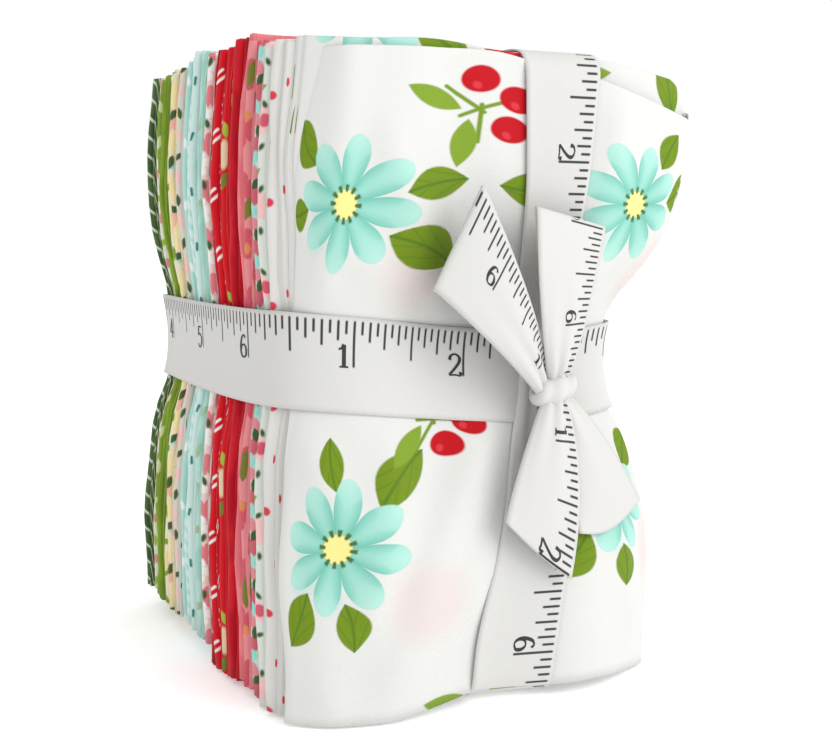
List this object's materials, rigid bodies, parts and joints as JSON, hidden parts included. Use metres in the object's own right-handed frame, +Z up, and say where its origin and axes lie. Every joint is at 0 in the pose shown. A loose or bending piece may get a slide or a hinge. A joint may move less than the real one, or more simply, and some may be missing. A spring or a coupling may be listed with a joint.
{
  "type": "fat eighth fabric bundle",
  "caption": "Bundle of folded printed quilting cottons standing side by side, tied crosswise with a tape-measure ribbon and bow.",
  "frame": {"origin": "middle of the bundle's outline on the surface it rests on", "axes": "+Z up along the folded height, -Y out of the front cotton with the bow, -X towards the folded edges, +X towards the open side"},
  "size_m": [0.0989, 0.111, 0.1331],
  "materials": {
    "white_floral": "matte printed cotton",
    "white_dots": "matte printed cotton",
    "white_sprig": "matte printed cotton",
    "aqua_floral": "matte printed cotton",
    "dusty_pink": "matte printed cotton",
    "pink": "matte printed cotton",
    "crimson": "matte printed cotton",
    "red_floral": "matte printed cotton",
    "candy_red": "matte printed cotton",
    "deep_red": "matte printed cotton",
    "pale_pink": "matte printed cotton",
    "aqua_green": "matte printed cotton",
    "pale_aqua_dash": "matte printed cotton",
    "pale_aqua": "matte printed cotton",
    "aqua": "matte printed cotton",
    "grey_cream": "matte printed cotton",
    "cream_floral": "matte printed cotton",
    "cream_leaf": "matte printed cotton",
    "bright_green": "matte printed cotton",
    "green_leaf": "matte printed cotton",
    "pale_green": "matte printed cotton",
    "dark_green": "matte printed cotton",
    "ribbon_tape": "matte twill tape with dark printed scale"
  },
  "bodies": {
    "root": {"fabric_01": "white_floral", "fabric_02": "white_dots", "fabric_03": "white_sprig", "fabric_04": "aqua_floral", "fabric_05": "dusty_pink", "fabric_06": "pink", "fabric_07": "crimson", "fabric_08": "red_floral", "fabric_09": "candy_red", "fabric_10": "deep_red", "fabric_11": "pale_pink", "fabric_12": "aqua_green", "fabric_13": "pale_aqua_dash", "fabric_14": "pale_aqua", "fabric_15": "aqua", "fabric_16": "grey_cream", "fabric_17": "cream_floral", "fabric_18": "cream_leaf", "fabric_19": "bright_green", "fabric_20": "green_leaf", "fabric_21": "pale_green", "fabric_22": "dark_green", "ribbon": "ribbon_tape"}
  },
  "joints": []
}
